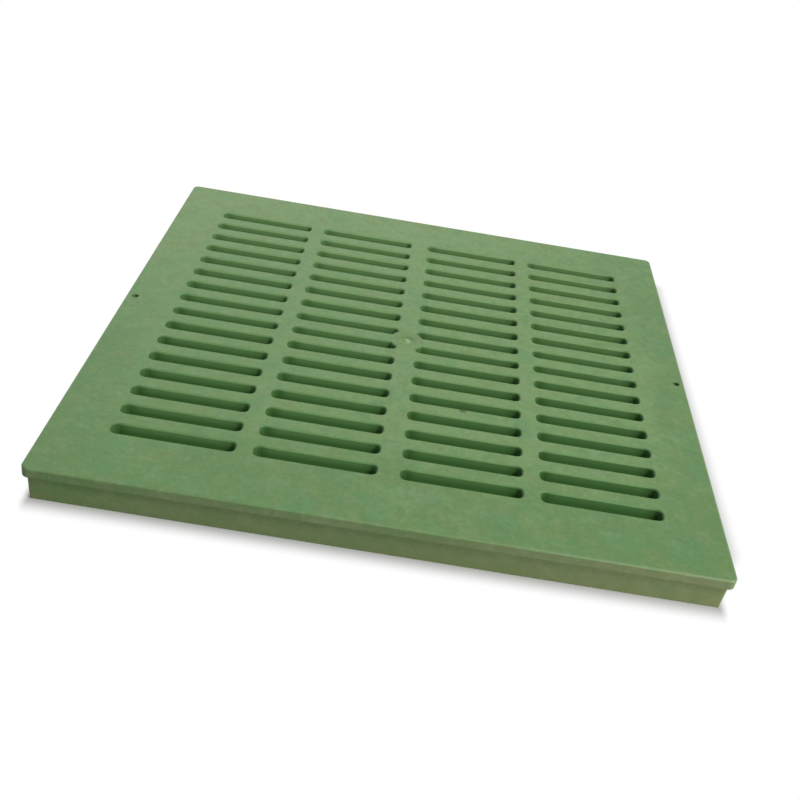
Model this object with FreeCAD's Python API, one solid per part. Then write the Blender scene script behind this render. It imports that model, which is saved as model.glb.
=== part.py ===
import FreeCAD, Part
import math
import os

# Square gully grate moulded in one piece, shown lying as it is used.
# Millimetres. Origin under the middle of the grate, on the plane that its
# skirt and ribs stand on. +Z is up through the walking face, +X runs along
# the slots and +Y across them.

# Outer body
side = 450.0                # edge to edge of the flange, both ways
overall_height = 26.8       # underside of the skirt to the walking face
flange_thickness = 7.2      # the plate, and the rim that lies in the frame
flange_corner_r = 5.0       # plan radius of the plate's four corners
flange_edge_round = 1.2     # rounding of the walking face's outer edge
flange_overhang = 3.0       # how far the rim stands out past the skirt
skirt_corner_r = 1.8        # plan radius of the skirt's corners under the plate
skirt_thickness = 6.0       # wall of the skirt where it meets the plate
mould_draft = 2.0           # degrees, on the skirt and the hollows in it

# Slot field
rows_per_half = 8           # slots in front of the middle, and behind it
columns_per_half = 2        # slots left of the middle, and right of it
end_margin = 40.6           # plain face beyond the ends of the slots
side_margin = 48.85         # plain face in front of and behind the slots
bar_width = 12.5            # between two rows of slots, at their necks
centre_divider = 16.0       # along the middle, between slot ends
divider = 12.4              # between the other slot ends
middle_row_narrower = 0.8   # the two rows by the middle bar are this much slimmer
slot_corner_share = 0.36    # corner radius of a slot as a share of its width
slot_corner_flats = 3       # flats that make up each corner's quarter turn
slot_draft = 2.5            # degrees; the slots open out downwards
slot_edge_chamfer = 1.0     # broken edge round each slot on the walking face

# Gate mark in the middle
gate_disc_r = 14.0          # solid disc that trims the four nearest slots
gate_dish_r = 7.0           # rim of the shallow dish round the cut-off sprue
gate_dish_floor_r = 3.5
gate_dish_depth = 0.8
gate_stub_r = 2.2           # what is left of the sprue
gate_stub_top_r = 1.8
gate_stub_height = 0.7      # under the dish's depth, so that nobody trips on it

# Hollows under the plain margins
field_wall = 7.0            # wall between the outermost slots and the hollows
rib_thickness = 5.0
hollow_corner_share = 0.2   # corner radius of a hollow as a share of its width
hollow_corner_flats = 2     # flats that make up each corner's quarter turn
hollows_per_slot = 2        # in front and behind, along one slot's length
bars_per_hollow = 2         # left and right, bars that one hollow spans

# Screw holes, one in the middle of the left edge and one of the right edge
screw_hole_r = 2.75
screw_hole_from_edge = 6.6
screw_way_clearance = 2.5   # room round the screw where it passes the skirt

# Values that follow from the ones above
half = side / 2
flange_underside = overall_height - flange_thickness
skirt_half = half - flange_overhang
skirt_inside = skirt_half - skirt_thickness
field_half_x = half - end_margin
field_half_y = half - side_margin
dividers_per_half = columns_per_half - 1
slot_length = (field_half_x - centre_divider / 2 - dividers_per_half * divider) / columns_per_half
bars_per_side = rows_per_half - 0.5
slot_width = (field_half_y - bars_per_side * bar_width + middle_row_narrower) / rows_per_half
middle_slot_width = slot_width - middle_row_narrower
slot_corner_r = slot_corner_share * slot_width
screw_reach = half - screw_hole_from_edge
screw_way_r = screw_hole_r + screw_way_clearance
overshoot = 1.0             # cutters stand out this far, so that no face is shared


def rounded_outline(length, width, corner_r, z):
    """Rectangle with round corners about the Z axis, at height z."""
    x = length / 2
    y = width / 2
    inner_x = x - corner_r
    inner_y = y - corner_r
    bulge = corner_r * math.sqrt(0.5)
    corners = []
    for sx, sy in ((1, 1), (-1, 1), (-1, -1), (1, -1)):
        on_end = FreeCAD.Vector(sx * x, sy * inner_y, z)
        on_side = FreeCAD.Vector(sx * inner_x, sy * y, z)
        middle = FreeCAD.Vector(sx * (inner_x + bulge), sy * (inner_y + bulge), z)
        corners.append((on_end, middle, on_side) if sx == sy else (on_side, middle, on_end))
    edges = []
    for corner, following in zip(corners, corners[1:] + corners[:1]):
        edges.append(Part.Arc(*corner).toShape())
        edges.append(Part.LineSegment(corner[2], following[0]).toShape())
    return Part.Wire(edges)


def stepped_outline(length, width, corner_r, z, flats):
    """Corner points of the same rectangle, each corner made of a few flats."""
    points = []
    for quarter in range(4):
        turn = quarter * math.pi / 2
        centre_x = math.copysign(length / 2 - corner_r, math.cos(turn + math.pi / 4))
        centre_y = math.copysign(width / 2 - corner_r, math.sin(turn + math.pi / 4))
        for n in range(flats + 1):
            angle = turn + n * math.pi / 2 / flats
            x = centre_x + corner_r * math.cos(angle)
            y = centre_y + corner_r * math.sin(angle)
            points.append(FreeCAD.Vector(x, y, z))
    return points


def flat_face(points):
    return Part.Face(Part.makePolygon(points + points[:1]))


def stacked_rings(rings):
    """Solid with flat faces between rings of as many points, lowest first."""
    faces = [flat_face(rings[0]), flat_face(rings[-1])]
    for low, high in zip(rings, rings[1:]):
        for n in range(len(low)):
            faces.append(flat_face([low[n - 1], low[n], high[n], high[n - 1]]))
    return Part.Solid(Part.Shell(faces))


def cutter(length, width, corner_r, levels, flats):
    """Upright cutter through the given (height, growth) levels.

    Growth is how far its sides stand out there past the given plan.
    """
    return stacked_rings([
        stepped_outline(length + 2 * g, width + 2 * g, corner_r + g, z, flats)
        for z, g in levels])


def rise(height, degrees):
    """How far a drafted face steps sideways over a height."""
    return height * math.tan(math.radians(degrees))


def moved(shape, x, y):
    placed = shape.copy()
    placed.translate(FreeCAD.Vector(x, y, 0))
    return placed


def column_centres():
    first = centre_divider / 2 + slot_length / 2
    step = slot_length + divider
    right = [first + step * n for n in range(columns_per_half)]
    return [-x for x in right] + right


def row_centres():
    """Centres of the full width rows, in front of the middle and behind it."""
    first = bar_width / 2 + middle_slot_width + bar_width + slot_width / 2
    step = slot_width + bar_width
    back = [first + step * n for n in range(rows_per_half - 1)]
    return [-y for y in back] + back


def middle_row_centres():
    y = bar_width / 2 + middle_slot_width / 2
    return [-y, y]


def bar_centres():
    """Centre lines of the bars behind the middle, the middle bar first."""
    step = slot_width + bar_width
    first = bar_width + middle_slot_width
    return [0.0] + [first + step * n for n in range(rows_per_half - 1)]


def plate():
    """Walking plate with rounded corners and a softened upper edge."""
    plan = Part.Face(rounded_outline(side, side, flange_corner_r, flange_underside))
    sheet = plan.extrude(FreeCAD.Vector(0, 0, flange_thickness))
    upper = [e for e in sheet.Edges if e.BoundBox.ZMin > overall_height - flange_thickness / 2]
    return sheet.makeFillet(flange_edge_round, upper)


def skirt_block():
    """Solid drafted block under the plate; the hollows leave the skirt of it."""
    inset = rise(flange_underside, mould_draft)
    top = rounded_outline(2 * skirt_half, 2 * skirt_half, skirt_corner_r, flange_underside)
    low_side = 2 * (skirt_half - inset)
    low = rounded_outline(low_side, low_side, skirt_corner_r - inset, 0.0)
    return Part.makeLoft([low, top], True, True)


def slot_levels():
    """A slot opens out downwards from its neck, and upwards through its broken edge."""
    neck = overall_height - slot_edge_chamfer
    flare = slot_edge_chamfer + overshoot
    low = rise(neck + overshoot, slot_draft)
    return [(-overshoot, low), (neck, 0.0), (overall_height + overshoot, flare)]


def gate_disc():
    """Solid disc whose rim has the same drafted wall and broken edge as the slots."""
    disc = None
    levels = slot_levels()
    for (z_low, g_low), (z_high, g_high) in zip(levels, levels[1:]):
        stage = Part.makeCone(gate_disc_r - g_low, gate_disc_r - g_high, z_high - z_low)
        stage.translate(FreeCAD.Vector(0, 0, z_low))
        disc = stage if disc is None else disc.fuse(stage)
    return disc


def slot_cutter(width):
    return cutter(slot_length, width, slot_corner_r, slot_levels(), slot_corner_flats)


def slot_cutters():
    full = slot_cutter(slot_width)
    slim = slot_cutter(middle_slot_width)
    cutters = [moved(full, x, y) for x in column_centres() for y in row_centres()]
    cutters += [moved(slim, x, y) for x in column_centres() for y in middle_row_centres()]
    return cutters


def hollow(x_low, x_high, y_low, y_high, corner_r):
    """One hollow, open below, of the given plan under the plate."""
    low = rise(flange_underside + overshoot, mould_draft)
    levels = [(-overshoot, low), (flange_underside, 0.0)]
    block = cutter(x_high - x_low, y_high - y_low, corner_r, levels, hollow_corner_flats)
    return moved(block, (x_low + x_high) / 2, (y_low + y_high) / 2)


def cells(lines):
    """Spans between neighbouring ribs that stand on the given lines."""
    inset = rib_thickness / 2
    return [(low + inset, high - inset) for low, high in zip(lines, lines[1:])]


def rib_lines_x():
    """Ribs in front and behind: under the dividers and between them."""
    right = []
    for n in range(columns_per_half):
        left_end = centre_divider / 2 + n * (slot_length + divider)
        share = slot_length / hollows_per_slot
        right += [left_end + share * m for m in range(1, hollows_per_slot)]
        right.append(left_end + slot_length + divider / 2)
    right[-1] = field_half_x + field_wall - rib_thickness / 2
    return [-x for x in reversed(right)] + [0.0] + right


def rib_lines_y():
    """Ribs left and right: each stands in line with a bar."""
    back = bar_centres()[bars_per_hollow::bars_per_hollow]
    back.append(field_half_y + field_wall - rib_thickness / 2)
    return [-y for y in reversed(back)] + [0.0] + back


def hollows():
    across = skirt_inside - field_half_x - field_wall
    along = skirt_inside - field_half_y - field_wall
    corner_r = hollow_corner_share * across
    x_low = field_half_x + field_wall
    y_low = field_half_y + field_wall
    found = []
    for low, high in cells(rib_lines_x()):
        found.append(hollow(low, high, y_low, y_low + along, corner_r))
        found.append(hollow(low, high, -y_low - along, -y_low, corner_r))
    for low, high in cells(rib_lines_y()):
        found.append(hollow(x_low, x_low + across, low, high, corner_r))
        found.append(hollow(-x_low - across, -x_low, low, high, corner_r))
    x_corner = x_low + rib_thickness / 2
    y_corner = y_low + rib_thickness / 2
    for x_side in (-1, 1):
        for y_side in (-1, 1):
            xs = sorted((x_side * x_corner, x_side * (x_low + across)))
            ys = sorted((y_side * y_corner, y_side * (y_low + along)))
            found.append(hollow(xs[0], xs[1], ys[0], ys[1], corner_r))
    return found


def screw_bosses(block):
    """Thickening inside the skirt round each screw's way, trimmed to the block."""
    post = Part.makeCylinder(screw_way_r + skirt_thickness, flange_underside)
    return [moved(post, x, 0.0).common(block) for x in (-screw_reach, screw_reach)]


def mouth(r, z):
    """Rectangle from a screw's line out past the flange's edge."""
    past_edge = screw_hole_from_edge + overshoot
    return [FreeCAD.Vector(x, y, z) for x, y in ((0, -r), (past_edge, -r), (past_edge, r), (0, r))]


def screw_ways():
    """Upright grooves that let the screws pass down outside the skirt."""
    low_r = screw_way_r + rise(flange_underside, mould_draft)
    round_end = Part.makeCone(low_r, screw_way_r, flange_underside)
    right = round_end.fuse(stacked_rings([mouth(low_r, 0.0), mouth(screw_way_r, flange_underside)]))
    left = right.mirror(FreeCAD.Vector(0, 0, 0), FreeCAD.Vector(1, 0, 0))
    return [moved(left, -screw_reach, 0.0), moved(right, screw_reach, 0.0)]


def screw_holes():
    hole = Part.makeCylinder(screw_hole_r, flange_thickness + 2 * overshoot)
    hole.translate(FreeCAD.Vector(0, 0, flange_underside - overshoot))
    return [moved(hole, x, 0.0) for x in (-screw_reach, screw_reach)]


def gate_mark(body):
    """Shallow dish round the cut-off sprue, both below the walking face."""
    dish = Part.makeCone(gate_dish_floor_r, gate_dish_r, gate_dish_depth)
    stub = Part.makeCone(gate_stub_r, gate_stub_top_r, gate_stub_height)
    ring = dish.cut(stub)
    ring.translate(FreeCAD.Vector(0, 0, overall_height - gate_dish_depth))
    return body.cut(ring)


def grate():
    block = skirt_block()
    body = plate().fuse(block)
    body = body.cut(hollows())
    body = body.fuse(screw_bosses(block))
    body = body.cut(screw_ways())
    body = body.cut(screw_holes())
    disc = gate_disc()
    cutters = [c.cut(disc) for c in slot_cutters()]
    body = body.cut(cutters)
    return gate_mark(body).removeSplitter()


os.makedirs("parts", exist_ok=True)
grate().exportStep("parts/grate.step")
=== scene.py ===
import math
from functools import reduce
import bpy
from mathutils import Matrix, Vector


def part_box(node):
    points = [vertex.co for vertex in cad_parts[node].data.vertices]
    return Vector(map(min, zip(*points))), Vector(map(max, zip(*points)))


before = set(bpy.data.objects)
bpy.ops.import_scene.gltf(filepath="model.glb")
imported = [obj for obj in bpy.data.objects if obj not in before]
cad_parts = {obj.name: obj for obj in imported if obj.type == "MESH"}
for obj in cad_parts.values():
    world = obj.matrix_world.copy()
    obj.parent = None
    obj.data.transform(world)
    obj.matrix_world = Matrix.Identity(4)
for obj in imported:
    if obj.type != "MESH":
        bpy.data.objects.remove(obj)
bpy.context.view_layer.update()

from types import SimpleNamespace

import bpy
from mathutils import Quaternion, Vector

# Square plastic gully grate on a white table. Metres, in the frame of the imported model:
# origin under the middle, +Z up through the walking face, +X along the slots.

low_corner, high_corner = (Vector(corner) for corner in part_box("grate"))
walking_face = high_corner.z
rim_reach = high_corner.x
rim_thickness = 0.0072
skirt_foot_set_back = 0.0037   # the rim's overhang and the skirt's draft
skirt_foot_reach = rim_reach - skirt_foot_set_back

# Slots, two columns on each side of the middle divider
slot_length = 0.0820
divider = 0.0124
middle_divider = 0.0160
columns_per_half = 2
slot_starts = [middle_divider / 2 + column * (slot_length + divider) for column in range(columns_per_half)]
slot_stops = [start + slot_length for start in slot_starts]
left_slot_ends = [-stop for stop in slot_stops] + slot_starts
right_slot_ends = [-start for start in slot_starts] + slot_stops
field_reach_x = 0.1865         # just past the outermost slot walls, with their draft and broken edge
field_reach_y = 0.1785
edge_shade_drop = 0.0018            # how far down the painted shade on the broken edge goes
end_shade_reach = 0.0130           # how far along a slot the painted shade at its ends goes
end_shade_core = 0.0010            # how far it is at its darkest

# Gate mark in the middle
gate_disc_r = 0.0140
gate_dish_r = 0.0070
gate_stub_r = 0.0024
gate_stub_x = 0.0004
gate_stub_y = -0.0006

# Dark speck on a bar
speck_x = 0.0475
speck_y = -0.0862
speck_r = 0.0022

# Camera, as the photo was taken: from in front, a little left of the middle and tipped over to one side
camera_place = Vector((-0.0121, -0.7071, walking_face + 0.4207))
aimed_at = Vector((0.0013, -0.0895, walking_face))
camera_tip_degrees = 9.92
camera_lens_mm = 46.39
sensor_mm = 36.0
frame_shift_up = 0.00375

# Colours, linear
plastic_green = (0.139, 0.265, 0.094)
# pale tone of the clouds, also where the painted light drift lifts the face
faded_and_lit_green = (0.200, 0.346, 0.132)
deep_green = (0.098, 0.206, 0.068)
# painted sheen at the back left of the face
back_left_sheen_green = (0.284, 0.410, 0.158)
leaf_green = (0.112, 0.258, 0.074)
cool_green = (0.124, 0.286, 0.115)
warm_green = (0.180, 0.276, 0.095)
foam_haze = (0.262, 0.356, 0.210)
# painted shade on the gate disc
disc_shade_olive = (0.140, 0.232, 0.078)
# pale spot over the gate stub
pale_stub_green = (0.350, 0.490, 0.235)
slot_green = (0.172, 0.376, 0.122)
# painted light on the slot walls: paler in the back rows and in the left columns
lit_back_slot_green = (0.285, 0.455, 0.188)
lit_left_slot_green = (0.290, 0.532, 0.216)
# painted shade deep in the slots
slot_depth_green = (0.108, 0.285, 0.072)
# painted shade on the slots' broken top edges
slot_edge_shade_green = (0.050, 0.145, 0.036)
# painted shade at the slots' ends
slot_end_shade_green = (0.066, 0.182, 0.040)
side_green = (0.104, 0.205, 0.066)
side_middle_green = (0.140, 0.214, 0.088)
side_olive = (0.174, 0.223, 0.101)
corner_olive = (0.160, 0.175, 0.070)
# dirt of the speck, and painted shade on the rim's face
dirt_and_shade_brown = (0.018, 0.022, 0.010)
table_white = (0.45, 0.45, 0.45)
white = (1.0, 1.0, 1.0)

# Skin of the plastic
edge_softness = 0.0008
plastic_ior = 1.46

# White table and white room, both plain white to the lens
table_side = 60.0
shade_reach = 0.016
room_light = 0.17

# Sockets of a Mix node that are told apart by their number alone
mix_share, mix_first, mix_second, mix_result = 0, 6, 7, 2


class Wire:
    """One output of a node, a value or a colour. Arithmetic on it adds Math nodes."""

    def __init__(self, finish, source, output):
        self.finish = finish
        self.source = source
        self.output = output

    @property
    def socket(self):
        return self.source.outputs[self.output]

    def also(self, output):
        """Another output of the same node."""
        return Wire(self.finish, self.source, output)

    def math(self, operation, *values):
        return self.finish.node("ShaderNodeMath", {"operation": operation}, dict(enumerate(values)))

    def __add__(self, other):
        return self.math("ADD", self, other)

    def __radd__(self, other):
        return self.math("ADD", other, self)

    def __sub__(self, other):
        return self.math("SUBTRACT", self, other)

    def __rsub__(self, other):
        return self.math("SUBTRACT", other, self)

    def __mul__(self, other):
        return self.math("MULTIPLY", self, other)

    def __rmul__(self, other):
        return self.math("MULTIPLY", other, self)

    def __truediv__(self, other):
        return self.math("DIVIDE", self, other)

    def __rtruediv__(self, other):
        return self.math("DIVIDE", other, self)

    def __abs__(self):
        return self.math("ABSOLUTE", self)

    def or_more(self, other):
        """This value or the other, whichever is larger."""
        return self.math("MAXIMUM", self, other)

    def or_less(self, other):
        """This value or the other, whichever is smaller."""
        return self.math("MINIMUM", self, other)

    def within(self, reach):
        """1 where the value is under reach, and 0 past it."""
        return self.math("LESS_THAN", self, reach)

    def rise(self, start, end):
        """0 as far as start, 1 past end and smooth between them. The end may be the lower of the two."""
        return self.finish.node("ShaderNodeMapRange", {"interpolation_type": "SMOOTHSTEP"}, {
            "Value": self, "From Min": start, "From Max": end})

    def under(self, *layers):
        """This colour with layers laid over it in turn, each given as its share and its colour."""
        colour = self
        for share, layer in layers:
            colour = self.finish.blend(share, colour, layer)
        return colour


class Finish:
    """The nodes of a material, or of the world that lights the room."""

    def __init__(self, owner):
        self.owner = owner
        self.owner.use_nodes = True
        self.tree = owner.node_tree
        self.tree.nodes.clear()

    def node(self, kind, settings=None, inputs=None, output=0):
        """Adds a node. Its settings are set first, then the values or links of its sockets."""
        made = self.tree.nodes.new(kind)
        for name, value in (settings or {}).items():
            if name == "stops":
                self.set_stops(made.color_ramp, value)
            else:
                setattr(made, name, value)
        for name, value in (inputs or {}).items():
            socket = made.inputs[name]
            if isinstance(value, Wire):
                self.tree.links.new(value.socket, socket)
            else:
                socket.default_value = (*value, 1.0) if socket.type == "RGBA" else value
        return Wire(self, made, output)

    @staticmethod
    def set_stops(ramp, stops):
        for place, _ in stops[len(ramp.elements):]:
            ramp.elements.new(place)
        for element, (place, colour) in zip(ramp.elements, stops):
            element.position = place
            element.color = (*colour, 1.0)

    def place(self):
        """The surface's own place, as a vector and as its three parts."""
        where = self.node("ShaderNodeTexCoord", output="Object")
        x = self.node("ShaderNodeSeparateXYZ", inputs={"Vector": where}, output="X")
        return where, x, x.also("Y"), x.also("Z")

    def vector(self, x, y, z=0.0):
        return self.node("ShaderNodeCombineXYZ", inputs={"X": x, "Y": y, "Z": z})

    def length(self, vector):
        return self.node("ShaderNodeVectorMath", {"operation": "LENGTH"}, {0: vector}, "Value")

    def noise(self, where, scale, detail, roughness, distortion=0.0):
        return self.node("ShaderNodeTexNoise", inputs={
            "Vector": where, "Scale": scale, "Detail": detail, "Roughness": roughness,
            "Distortion": distortion})

    def blend(self, share, first, second):
        """The first colour where share is 0, the second where it is 1."""
        return self.node("ShaderNodeMix", {"data_type": "RGBA"}, {
            mix_share: share, mix_first: first, mix_second: second}, mix_result)

    def blend_shaders(self, share, first, second):
        """The first shader where share is 0, the second where it is 1."""
        return self.node("ShaderNodeMixShader", inputs={0: share, 1: first, 2: second})

    def seen(self):
        """1 for what the lens sees, straight, in a shine or through a clear thing, and 0 for other light."""
        rays = self.node("ShaderNodeLightPath", output="Is Camera Ray")
        return rays.or_more(rays.also("Is Glossy Ray")).or_more(rays.also("Is Transmission Ray"))

    def complete(self, shader):
        """Leads the shader to the output, and hands over the finished material or world."""
        is_room = isinstance(self.owner, bpy.types.World)
        end = "ShaderNodeOutputWorld" if is_room else "ShaderNodeOutputMaterial"
        self.node(end, inputs={"Surface": shader})
        return self.owner


def melt_patterns(finish, where, x, y):
    """What the melt left in the plastic, from wide clouds to the pebbled skin, and its flow from the gate."""
    gate_core = 0.004
    waves_along_flow = 2.2
    from_gate = finish.length(where) + gate_core
    flow = finish.vector(x / from_gate, y / from_gate, from_gate * waves_along_flow)
    return SimpleNamespace(
        clouds=finish.noise(where, scale=9.0, detail=4.0, roughness=0.60, distortion=0.8),
        streaks=finish.noise(flow, scale=15.0, detail=3.0, roughness=0.60, distortion=0.5),
        hues=finish.noise(where, scale=48.0, detail=5.0, roughness=0.80, distortion=0.6),
        patches=finish.noise(where, scale=70.0, detail=4.0, roughness=0.66, distortion=1.2),
        blotches=finish.noise(where, scale=92.0, detail=3.0, roughness=0.60, distortion=0.4),
        mottle=finish.noise(where, scale=260.0, detail=4.0, roughness=0.68, distortion=0.6),
        grain=finish.noise(where, scale=620.0, detail=2.0, roughness=0.60),
        pebble=finish.noise(where, scale=1500.0, detail=2.0, roughness=0.50))


def plate_green(finish, melt, x, y):
    """Face of the plate: painted light that makes it paler towards the back left, with a painted sheen there,
    darker at the front left and on the right, and painted shade along the outer margins; warm and cool spots,
    haze and flow marks.
    """
    front_left = x.rise(-0.180, -0.205) * y.rise(0.0, -0.10)
    inner_field = abs(y).rise(0.18, 0.10) * abs(x).rise(0.215, 0.185)
    # Painted light: lighter towards the back, the back left and over the inner field, darker on the right and
    # at the front left.
    painted_light_drift = y.rise(-0.25, -0.09) * 0.08 + y * 0.15 + (y - x * 0.5).rise(0.02, 0.32) * 0.14
    painted_light_drift = painted_light_drift - x.rise(0.10, 0.20) * 0.10 - front_left * 0.05 + inner_field * 0.09 - 0.045
    cloudiness = melt.clouds * 0.35 + melt.patches * 0.50 + melt.streaks * 0.15 + painted_light_drift
    # Painted shade along the right margin and the front of the left margin.
    outer_margin = x.rise(0.188, 0.206).or_more(x.rise(-0.188, -0.206) * y.rise(0.02, -0.10))
    haze = melt.patches.rise(0.56, 0.80) * melt.clouds.rise(0.42, 0.70)
    return finish.blend(cloudiness.rise(0.39, 0.61), plastic_green, faded_and_lit_green).under(
        # painted sheen at the back left
        ((y - x * 0.8).rise(0.16, 0.36) * 0.60, back_left_sheen_green),
        (x.rise(0.06, -0.16) * 0.45, leaf_green),
        (melt.hues.rise(0.50, 0.62) * 0.65, cool_green),
        (melt.hues.rise(0.50, 0.38) * 0.65, warm_green),
        (outer_margin * 0.14, deep_green),
        (haze * 0.50, foam_haze),
        (melt.streaks.rise(0.50, 0.30) * 0.20, deep_green),
        (melt.blotches.rise(0.52, 0.66) * 0.22, deep_green),
        (melt.blotches.rise(0.48, 0.34) * 0.22, foam_haze),
        (melt.mottle.rise(0.50, 0.70) * 0.35, deep_green),
        (melt.mottle.rise(0.48, 0.30) * 0.30, foam_haze),
        (melt.grain.rise(0.40, 0.64) * 0.12, deep_green))


def gate_mark_layers(finish, from_middle, x, y):
    """Painted shade on the gate disc, heaviest towards its back, painted shade in its dish and a pale spot
    over the gate stub.
    """
    # painted shade over the gate disc, heavier towards its back
    disc_shade = from_middle.rise(gate_disc_r + 0.0010, gate_disc_r - 0.0030)
    dish = from_middle.rise(gate_dish_r + 0.0015, gate_dish_r - 0.0010)
    dish_shade = x.rise(0.0010, 0.0040).or_more(y.rise(0.0025, 0.0050) * 0.5)
    from_stub = finish.length(finish.vector(x - gate_stub_x, y - gate_stub_y))
    return (
        (disc_shade * (y.rise(-0.004, 0.006) * 0.40 + 0.15), disc_shade_olive),
        (dish * dish_shade * 0.45, deep_green),
        # pale spot over the gate stub
        (from_stub.rise(gate_stub_r + 0.0008, gate_stub_r) * 0.85, pale_stub_green))


def rim_highlight_and_wear_layer(melt, x, from_rim, below_face):
    """Outer edge of the walking face: a painted highlight, partly pale wear, most of all on the right."""
    # painted highlight along the rounded outer edge, partly wear
    highlight_and_wear = from_rim.rise(0.0022, 0.0006) * below_face.rise(0.0016, 0.0006)
    return highlight_and_wear * (x.rise(0.02, 0.22) * 0.28 + melt.patches * 0.20), foam_haze


def nearest(x, places):
    """How far x is from the nearest of the places."""
    return reduce(Wire.or_less, [abs(x - place) for place in places])


def slot_wall_layer(finish, x, y, from_middle, below_face):
    """Walls of the slots: greener than the face, with painted light that makes them paler in the back rows
    and on the left, and painted shade that darkens them with depth, at the slots' ends and on their broken
    top edge.
    """
    in_field = abs(x).within(field_reach_x) * abs(y).within(field_reach_y)
    past_gate_disc = from_middle.rise(gate_disc_r - 0.0025, gate_disc_r - 0.0015)
    wall = in_field * past_gate_disc * below_face.rise(0.0, 0.0006)
    far_rows = y.rise(-0.12, 0.16)
    from_left_end = nearest(x, left_slot_ends)
    from_right_end = nearest(x, right_slot_ends)
    from_either_end = from_left_end.or_less(from_right_end)

    # Painted shade: the walls darken with depth, less in the far rows.
    depth = below_face.rise(0.0020, 0.0075) * (1.0 - far_rows * 0.25)
    left_share = 0.78 - far_rows * 0.28
    # Painted shade at both ends of each slot, less in the far rows.
    left_end_shade = from_left_end.rise(end_shade_reach, end_shade_core) * left_share
    right_share = x.rise(-0.05, 0.19) * 0.38 + 0.52 - far_rows * (x.rise(0.12, -0.05) * 0.16 + 0.30)
    right_end_shade = from_right_end.rise(end_shade_reach, end_shade_core) * right_share
    # Painted shade on the broken top edge of the walls, heavier in the near rows and near the slots' ends.
    edge_shade_share = y.rise(0.16, -0.08) * 0.30 + 0.15 + from_left_end.rise(0.0070, 0.0020) * 0.30
    edge_shade_share = edge_shade_share + from_either_end.rise(0.0040, 0.0005) * (0.35 - far_rows * 0.35)

    # Painted light: paler walls in the back rows and in the left columns.
    wall_green = finish.blend(far_rows * 0.70, slot_green, lit_back_slot_green).under(
        (x.rise(0.12, -0.08) * 0.36, lit_left_slot_green),
        (depth, slot_depth_green),
        (left_end_shade.or_more(right_end_shade), slot_end_shade_green),
        (below_face.rise(edge_shade_drop, edge_shade_drop - 0.0010) * edge_shade_share, slot_edge_shade_green))
    return wall, wall_green


def side_film_and_light_layer(finish, melt, x, z, from_rim, below_face):
    """Side faces: a dull film, with painted light that leaves them darker at the left and browner to the
    right, painted shade on the rim's face and browner painted shade towards the table.
    """
    side = from_rim.rise(0.0048, 0.0042) * below_face.rise(0.0006, 0.0016)
    from_rim_underside = z - (walking_face - rim_thickness)
    # Dull film and painted light: darker at the left end, warmer and browner towards the right.
    film_and_light = finish.node("ShaderNodeValToRGB", {"stops": (
        (0.05, side_green), (0.22, side_middle_green), (0.55, side_middle_green), (0.80, side_olive))},
        {"Fac": x / (2.0 * rim_reach) + 0.5})
    film_and_light = film_and_light.under(
        (x.rise(-0.208, -0.222) * 0.50, corner_olive),
        # painted shade on the rim's face
        (from_rim_underside.rise(-0.0006, 0.0004) * 0.16, dirt_and_shade_brown),
        (melt.hues.rise(0.50, 0.60) * 0.24, side_green),
        (melt.hues.rise(0.50, 0.40) * 0.38, side_olive),
        (melt.blotches.rise(0.50, 0.62) * 0.24, deep_green),
        (melt.blotches.rise(0.49, 0.37) * 0.15, foam_haze),
        (melt.mottle.rise(0.52, 0.68) * 0.34, deep_green),
        (melt.mottle.rise(0.48, 0.32) * 0.18, foam_haze),
        # painted shade, browner towards the table
        (z.rise(0.0160, 0.0030) * 0.24, corner_olive))
    return side * 0.90, film_and_light


def speck_layer(finish, melt, x, y):
    """Dark speck of foreign matter on a bar, with a ragged outline."""
    from_speck = finish.length(finish.vector(x - speck_x, y - speck_y)) + melt.grain * 0.0010
    return from_speck.rise(speck_r + 0.0020, speck_r) * 0.65, dirt_and_shade_brown


def moulded_green_plastic():
    """Green plastic with recycled matter in it: mottled colour and a matt, pitted skin."""
    finish = Finish(bpy.data.materials.new("moulded_green_plastic"))
    where, x, y, z = finish.place()
    melt = melt_patterns(finish, where, x, y)
    from_middle = finish.length(finish.vector(x, y))
    from_rim = rim_reach - abs(x).or_more(abs(y))
    below_face = walking_face - z
    colour = plate_green(finish, melt, x, y).under(
        *gate_mark_layers(finish, from_middle, x, y),
        rim_highlight_and_wear_layer(melt, x, from_rim, below_face),
        slot_wall_layer(finish, x, y, from_middle, below_face),
        side_film_and_light_layer(finish, melt, x, z, from_rim, below_face),
        speck_layer(finish, melt, x, y))

    roughness = 0.50 + melt.patches * 0.12 + melt.grain * 0.08
    height = melt.clouds * 0.00012 + melt.patches * 0.00006 + melt.mottle * 0.00004
    height = height + melt.grain * 0.00002 + melt.pebble * 0.00001
    soft_edges = finish.node("ShaderNodeBevel", {"samples": 6}, {"Radius": edge_softness})
    relief = finish.node("ShaderNodeBump", inputs={
        "Strength": 1.0, "Distance": 1.0, "Height": height, "Normal": soft_edges})
    return finish.complete(finish.node("ShaderNodeBsdfPrincipled", inputs={
        "Base Color": colour, "Roughness": roughness, "Normal": relief, "IOR": plastic_ior}))


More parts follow.
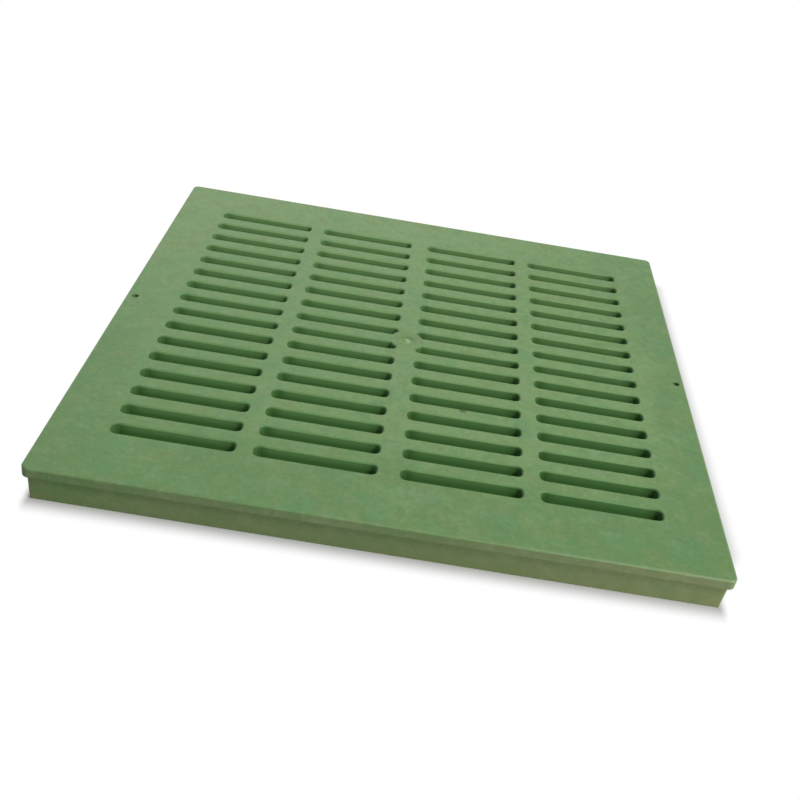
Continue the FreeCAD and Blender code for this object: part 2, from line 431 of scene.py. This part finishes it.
def white_table():
    """Table with the real shade close round the grate, white to the lens farther out, clear from below."""
    finish = Finish(bpy.data.materials.new("white_table"))
    _, x, y, _ = finish.place()
    wider_on_right = x.rise(0.20, 0.24) * y.rise(-0.215, -0.165) * 0.012
    narrower_in_front = y.rise(-0.165, -0.215) * 1.4 + 1.0
    past_x = (abs(x) - skirt_foot_reach - wider_on_right).or_more(0.0) * narrower_in_front
    past_y = (abs(y) - skirt_foot_reach).or_more(0.0)
    from_skirt = finish.length(finish.vector(past_x, past_y))
    lit = finish.node("ShaderNodeBsdfDiffuse", inputs={"Color": table_white})
    glow = finish.node("ShaderNodeEmission", inputs={"Color": white, "Strength": 1.0})
    table_top = finish.blend_shaders(finish.seen() * from_skirt.rise(-0.004, shade_reach), lit, glow)
    from_below = finish.node("ShaderNodeNewGeometry", output="Backfacing")
    clear = finish.node("ShaderNodeBsdfTransparent")
    return finish.complete(finish.blend_shaders(from_below, table_top, clear))


def white_room():
    """Plain white for the lens, and a soft light for everything else."""
    finish = Finish(bpy.data.worlds.new("white_room"))
    light = finish.node("ShaderNodeBackground", inputs={"Color": white, "Strength": room_light})
    backdrop = finish.node("ShaderNodeBackground", inputs={"Color": white, "Strength": 1.0})
    return finish.complete(finish.blend_shaders(finish.seen(), light, backdrop))


def lay_table():
    bpy.ops.mesh.primitive_plane_add(size=table_side, location=(0.0, 0.0, low_corner.z))
    table = bpy.context.object
    table.name = "table"
    table.data.materials.append(white_table())


def hang_lamp(name, place, aim, size, watts, colour):
    lamp = bpy.data.lights.new(name, "AREA")
    lamp.shape = "RECTANGLE"
    lamp.size, lamp.size_y = size
    lamp.energy = watts
    lamp.color = colour
    holder = bpy.data.objects.new(name, lamp)
    holder.location = place
    holder.rotation_euler = (Vector(aim) - Vector(place)).to_track_quat("-Z", "Y").to_euler()
    bpy.context.scene.collection.objects.link(holder)


def light_studio():
    bpy.context.scene.world = white_room()
    face_middle = (0.0, 0.0, walking_face)
    front_side = (0.1, -0.225, 0.015)
    hang_lamp("key_softbox", place=(2.25, -1.30, 2.90), aim=face_middle, size=(1.3, 1.3),
              watts=103.0, colour=(1.0, 1.0, 0.96))
    hang_lamp("back_panel", place=(-1.0, 2.3, 1.0), aim=face_middle, size=(2.6, 1.1),
              watts=18.0, colour=(1.0, 1.0, 0.92))
    hang_lamp("low_warm_lamp", place=(0.85, -0.85, 0.06), aim=front_side, size=(0.4, 0.1),
              watts=4.9, colour=(1.0, 0.86, 0.72))


def set_camera():
    lens = bpy.data.cameras.new("photo_camera")
    lens.lens = camera_lens_mm
    lens.sensor_width = sensor_mm
    lens.sensor_fit = "HORIZONTAL"
    lens.shift_y = frame_shift_up
    camera = bpy.data.objects.new("photo_camera", lens)
    level = (aimed_at - camera_place).to_track_quat("-Z", "Y")
    tip = Quaternion((0.0, 0.0, 1.0), math.radians(camera_tip_degrees))
    camera.location = camera_place
    camera.rotation_euler = (level @ tip).to_euler()
    bpy.context.scene.collection.objects.link(camera)
    bpy.context.scene.camera = camera


def finish_grate():
    plastic = moulded_green_plastic()
    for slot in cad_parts["grate"].material_slots:
        slot.material = plastic


bpy.ops.object.select_all(action="DESELECT")
bpy.context.scene.view_settings.view_transform = "Standard"
lay_table()
light_studio()
set_camera()
finish_grate()
